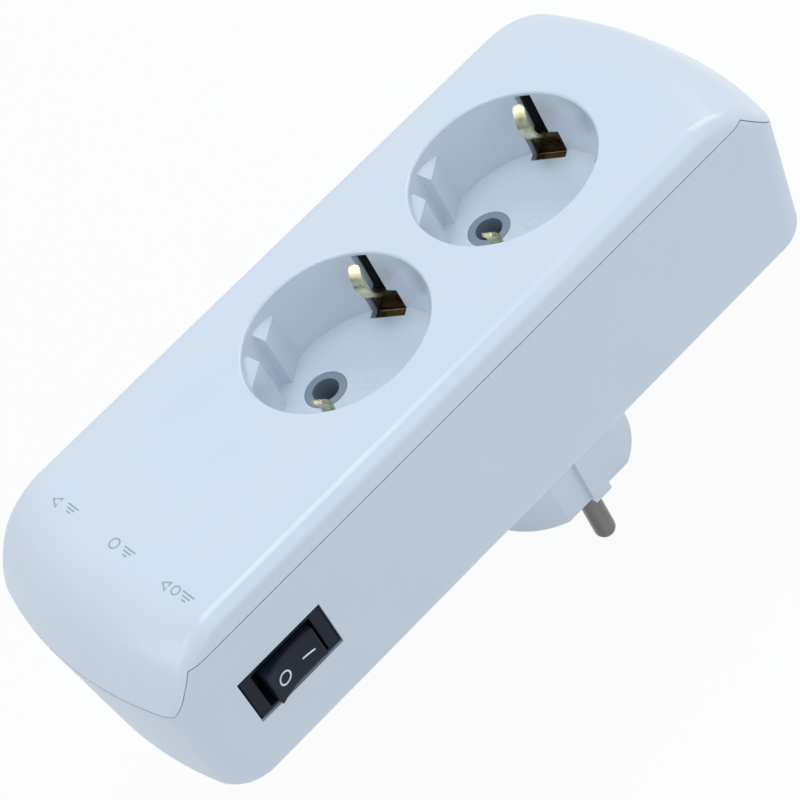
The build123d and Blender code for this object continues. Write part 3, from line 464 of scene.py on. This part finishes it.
def lay_on(piece, carrier, film):
    """Lays a flat piece on a CAD node's surface and gives it the film's thickness."""
    deselect()
    piece.select_set(True)
    bpy.context.view_layer.objects.active = piece
    bpy.ops.object.transform_apply(location=True, rotation=True, scale=True)
    wrap = piece.modifiers.new("lay", "SHRINKWRAP")
    wrap.target = frame["nodes"][carrier]
    wrap.wrap_method = "NEAREST_SURFACEPOINT"
    wrap.wrap_mode = "ABOVE_SURFACE"
    wrap.offset = film / 2
    bpy.ops.object.modifier_apply(modifier=wrap.name)
    thick = piece.modifiers.new("film", "SOLIDIFY")
    thick.thickness = film
    thick.offset = 0
    bpy.ops.object.modifier_apply(modifier=thick.name)
    return piece


def outline_mark(name, sides, radius, line, matrix):
    """A flat ring or outlined polygon of this outer radius and line width."""
    deselect()
    bpy.ops.mesh.primitive_circle_add(vertices=sides, radius=radius, fill_type="NGON")
    piece = bpy.context.active_object
    piece.name = name
    bpy.ops.object.mode_set(mode="EDIT")
    bpy.ops.mesh.select_all(action="SELECT")
    bpy.ops.mesh.inset(thickness=line)
    bpy.ops.mesh.delete(type="FACE")
    bpy.ops.object.mode_set(mode="OBJECT")
    piece.matrix_world = matrix
    return piece


def bar_mark(name, length, width, matrix, runs=6):
    """A flat bar along its own X with rounded ends, cut into short runs so that it can bend."""
    deselect()
    bpy.ops.mesh.primitive_plane_add(size=1)
    piece = bpy.context.active_object
    piece.name = name
    piece.scale = (length, width, 1)
    bpy.ops.object.transform_apply(scale=True)
    bpy.ops.object.mode_set(mode="EDIT")
    bpy.ops.mesh.select_all(action="SELECT")
    bpy.ops.mesh.bevel(offset=width * bar_rounding, segments=3, affect="VERTICES")
    for step in range(1, runs):
        bpy.ops.mesh.select_all(action="SELECT")
        cut = (step / runs - 0.5) * length
        bpy.ops.mesh.bisect(plane_co=(cut, 0, 0), plane_no=(1, 0, 0))
    bpy.ops.object.mode_set(mode="OBJECT")
    piece.matrix_world = matrix
    return piece


# %% [markdown]
# ## Off and on marks of the rocker
# The rocker carries the two usual marks, a ring for off at the end that stands out and a dash for on
# at the end that is pressed in. They ride on the rocker, so they tip with it.

# %% Rocker marks
ink_film = 0.04 * MM
hinge = frame["joints"][0]
along_case = Vector((1, 0, 0))
up_wall = -Vector(hinge["axis"]).normalized()
outward = along_case.cross(up_wall)
pivot = Vector(hinge["pos_m"])
face_height = pivot.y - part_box("rocker_button")[0].y


def on_switch(along, up, turn=0):
    """A place before the rocker's face, so far along and up from its pivot, turned by some degrees."""
    place = pivot + along_case * along + up_wall * up + outward * face_height
    axes = Matrix((along_case, up_wall, outward)).transposed().to_4x4()
    return Matrix.Translation(place) @ axes @ Matrix.Rotation(math.radians(turn), 4, "Z")


ring_place = on_switch(along=-2.6 * MM, up=-0.14 * MM)
dash_place = on_switch(along=3.6 * MM, up=-0.57 * MM, turn=-6)
off_ring = outline_mark("off_ring", sides=64, radius=1.62 * MM, line=0.4 * MM, matrix=ring_place)
on_dash = bar_mark("on_dash", length=3.0 * MM, width=0.46 * MM, matrix=dash_place)
for mark in (off_ring, on_dash):
    lay_on(mark, "rocker_button", ink_film)
    mark.data.materials.append(white_ink)
    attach(mark, "rocker")
print("rocker marks at", [round(v / MM, 2) for v in off_ring.data.vertices[0].co])

# %% [markdown]
# ## Marks over the lamps
# Three small lamps shine through the face near the switch end. Each has a pad-printed mark of plain
# signs: every mark has three bars, beside a ring, a triangle or both. The signs are made from the same
# outlines and bars as above, set side by side, and joined so that each mark is one film of ink.


# %% Sizes of the lamp marks
mark_film = 0.02 * MM
mark_x = -83.9 * MM
sign_line = 0.34 * MM
# The bars of a mark: their place along it, their lengths, the top one's height and their spacing, in mm
bars_along = 2.3
bar_lengths = (3.6, 2.4, 1.3)
top_bar, bar_spacing = 0.9, 0.75
ring_sides, triangle_sides = 32, 3
# The outlined signs of each mark: sides, radius, place along and up, in mm, and turn in degrees
outlined_signs = [
    [(ring_sides, 1.1, -0.9, 0.1, 0), (triangle_sides, 1.5, -3.6, -0.2, 90)],
    [(ring_sides, 1.3, -1.9, 0.1, 0)],
    [(triangle_sides, 1.6, -2.0, -0.2, 90)]]
print("lamp marks:", len(outlined_signs))


# %% Lamp mark helpers
def on_face(y, along, up, turn=0):
    """A place on the face by a mark's middle: along runs to -Y, up runs to +X, turn is in degrees."""
    axes = Matrix(((0, 1, 0), (-1, 0, 0), (0, 0, 1))).to_4x4()
    spot = Matrix.Translation((along * MM, up * MM, 0)) @ Matrix.Rotation(math.radians(turn), 4, "Z")
    return Matrix.Translation((mark_x, y, face_z)) @ axes @ spot


def stacked_bars(y):
    """Bars that get shorter downwards."""
    pieces = []
    for row, length in enumerate(bar_lengths):
        place = on_face(y, bars_along, top_bar - bar_spacing * row)
        pieces.append(bar_mark("bar", length * MM, sign_line, place))
    return pieces


def joined(name, pieces):
    """The pieces as one object of this name."""
    deselect()
    for piece in pieces:
        piece.select_set(True)
    bpy.context.view_layer.objects.active = pieces[0]
    bpy.ops.object.join()
    pieces[0].name = name
    return pieces[0]


# %% Lamp marks
for number, outlines in enumerate(outlined_signs, 1):
    low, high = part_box(f"indicator_led_{number}")
    y = (low.y + high.y) / 2
    signs = stacked_bars(y)
    for sides, radius, along, up, turn in outlines:
        signs.append(outline_mark("sign", sides, radius * MM, sign_line, on_face(y, along, up, turn)))
    mark = joined(f"lamp_mark_{number}", signs)
    lay_on(mark, "top_cover", mark_film)
    mark.data.materials.append(grey_ink)
    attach(mark, "case")
    print(mark.name, "at y", round(y / MM, 1), "mm")

# %% [markdown]
# ## Gate marks in the wells
# Where the plastic was let into the mould, a small witness is left on each well's floor: a shallow
# ring with a nub in its middle. It is about a tenth of a millimetre high, so it only shows as a change
# of light. It could be a bump in the material, but a disc that is raised and inset step by step is a
# real shape. It is made once, and a copy goes to the other well.

# %% Gate marks
well_depth = 17.5 * MM
gate_radius, gate_rise = 2.0 * MM, 0.08 * MM
# The mark's middle from the middle of the well's floor, sunk in a little
gate_offset = Vector((0.8, 1.0, -0.02)) * MM
# From the rim to the nub: mm inwards and mm up, step by step
gate_steps = ((0.15, 0), (0.35, -0.05), (0.75, 0), (0.2, 0.08), (0.3, 0.03))
deselect()
bpy.ops.mesh.primitive_circle_add(vertices=48, radius=gate_radius, fill_type="NGON")
gate_mark = bpy.context.active_object
gate_mark.name = "gate_mark_1"
bpy.ops.object.mode_set(mode="EDIT")
bpy.ops.mesh.select_all(action="SELECT")
bpy.ops.mesh.extrude_region_move(TRANSFORM_OT_translate={"value": (0, 0, gate_rise)})
for inward, rise in gate_steps:
    bpy.ops.mesh.inset(thickness=inward * MM)
    bpy.ops.transform.translate(value=(0, 0, rise * MM))
bpy.ops.mesh.select_all(action="SELECT")
bpy.ops.mesh.normals_make_consistent(inside=False)
bpy.ops.object.mode_set(mode="OBJECT")
bpy.ops.object.duplicate()
gate_copy = bpy.context.active_object
gate_copy.name = "gate_mark_2"
for mark, strip in ((gate_mark, "earth_strip_1"), (gate_copy, "earth_strip_2")):
    low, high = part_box(strip)
    mark.location = Vector(((low.x + high.x) / 2, 0, face_z - well_depth)) + gate_offset
    deselect()
    mark.select_set(True)
    bpy.context.view_layer.objects.active = mark
    bpy.ops.object.transform_apply(location=True)
    bpy.ops.object.shade_smooth_by_angle(angle=math.radians(30))
    mark.data.materials.append(finish["cover_plastic"])
    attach(mark, "case")
print("gate marks:", gate_mark.name, gate_copy.name)

# %% [markdown]
# ## Camera
# The camera stands in front of the switch side, above the case, and is rolled so that the case runs
# from the lower left to the upper right of the picture. A long lens keeps the case's edges almost
# parallel, as in a product picture.

# %% Camera
camera_place = Vector((-167.53, -440.89, 501.27)) * MM
camera_aim = Vector((-23.40, -7.94, 52.51)) * MM
camera_roll = math.radians(-31.66)
film_width, focal_length = 36.0, 147.86
bpy.ops.object.camera_add(location=camera_place)
camera = bpy.context.active_object
camera.data.sensor_width = film_width
camera.data.lens = focal_length
facing = (camera_aim - camera_place).to_track_quat("-Z", "Y").to_matrix()
camera.rotation_euler = (facing @ Matrix.Rotation(camera_roll, 3, "Z")).to_euler()
bpy.context.scene.camera = camera
print("camera to case:", round((camera_aim - camera_place).length / MM), "mm")

# %% [markdown]
# ## Floor, backdrop and light
# A product picture has a white sweep and large soft lights. The floor is a plain sheet that the pins
# stand on. Seen by the camera, and in reflections, most of it glows at exactly white and the rest is
# matt, so the shadow stays, but faint. The sky does the same, and lights the case more gently. Lamps
# and sky are a cool daylight, which gives white plastic its slight blue. The key hangs straight over
# the case, so that its light reaches the floors of the wells. Two lamps at the ends light their walls,
# and a fourth fills the side with the switch.

# %% What the camera sees of the backdrop
daylight = (0.82, 0.9, 1.0)
scene = bpy.context.scene
scene.view_settings.view_transform = "Standard"


def seen_directly(tree):
    """1 for rays that show a picture of the backdrop, 0 for rays that only carry its light."""
    path = add_node(tree, "ShaderNodeLightPath")
    seen = path.outputs["Is Camera Ray"]
    for kind in ("Is Glossy Ray", "Is Transmission Ray"):
        either = add_node(tree, "ShaderNodeMath", {"operation": "MAXIMUM"}, {
            0: seen, 1: path.outputs[kind]})
        seen = either.outputs["Value"]
    return seen


# %% Floor
floor_size = 6
seen_glow = 0.93
bpy.ops.mesh.primitive_plane_add(size=floor_size, location=(0, 0, cad_box[0].z))
floor = bpy.context.active_object
floor.name = "floor"
paper = bpy.data.materials.new("white_paper_sweep")
paper.use_nodes = True
tree = paper.node_tree
tree.nodes.clear()
matt = add_node(tree, "ShaderNodeBsdfDiffuse", None, {"Color": linear("#F4F5F6")})
glow = add_node(tree, "ShaderNodeEmission", None, {"Strength": 1.0})
share = add_node(tree, "ShaderNodeMath", {"operation": "MULTIPLY"}, {
    0: seen_directly(tree), 1: seen_glow})
both = add_node(tree, "ShaderNodeMixShader", None, {
    0: share.outputs["Value"], 1: matt.outputs["BSDF"], 2: glow.outputs["Emission"]})
add_node(tree, "ShaderNodeOutputMaterial", None, {"Surface": both.outputs["Shader"]})
floor.data.materials.append(paper)
print("floor at", round(floor.location.z / MM, 1), "mm")

# %% Sky
sky_light = 0.37
world = bpy.data.worlds.new("white_studio")
world.use_nodes = True
tree = world.node_tree
tree.nodes.clear()
soft = add_node(tree, "ShaderNodeBackground", None, {"Strength": sky_light})
white = add_node(tree, "ShaderNodeBackground", None, {"Strength": 1.0})
soft.inputs["Color"].default_value = (*daylight, 1)
white.inputs["Color"].default_value = (1, 1, 1, 1)
both = add_node(tree, "ShaderNodeMixShader", None, {
    0: seen_directly(tree), 1: soft.outputs["Background"], 2: white.outputs["Background"]})
add_node(tree, "ShaderNodeOutputWorld", None, {"Surface": both.outputs["Shader"]})
scene.world = world
print("sky:", world.name)


# %% Lamps
def softbox(name, place, power, size):
    """A square lamp at this place, turned to the middle of the case."""
    bpy.ops.object.light_add(type="AREA", location=place)
    lamp = bpy.context.active_object
    lamp.name = name
    lamp.data.energy = power
    lamp.data.size = size
    lamp.data.color = daylight
    lamp.rotation_euler = (camera_aim - Vector(place)).to_track_quat("-Z", "Y").to_euler()
    return lamp


softbox("key_softbox", (-0.02, 0.05, 1.2), power=4.0, size=0.6)
softbox("left_softbox", (-0.95, 0.2, 0.8), power=2.5, size=0.7)
softbox("right_softbox", (0.95, 0.25, 0.85), power=4.0, size=0.7)
softbox("fill_softbox", (0.1, -1.0, 0.55), power=2.75, size=0.9)
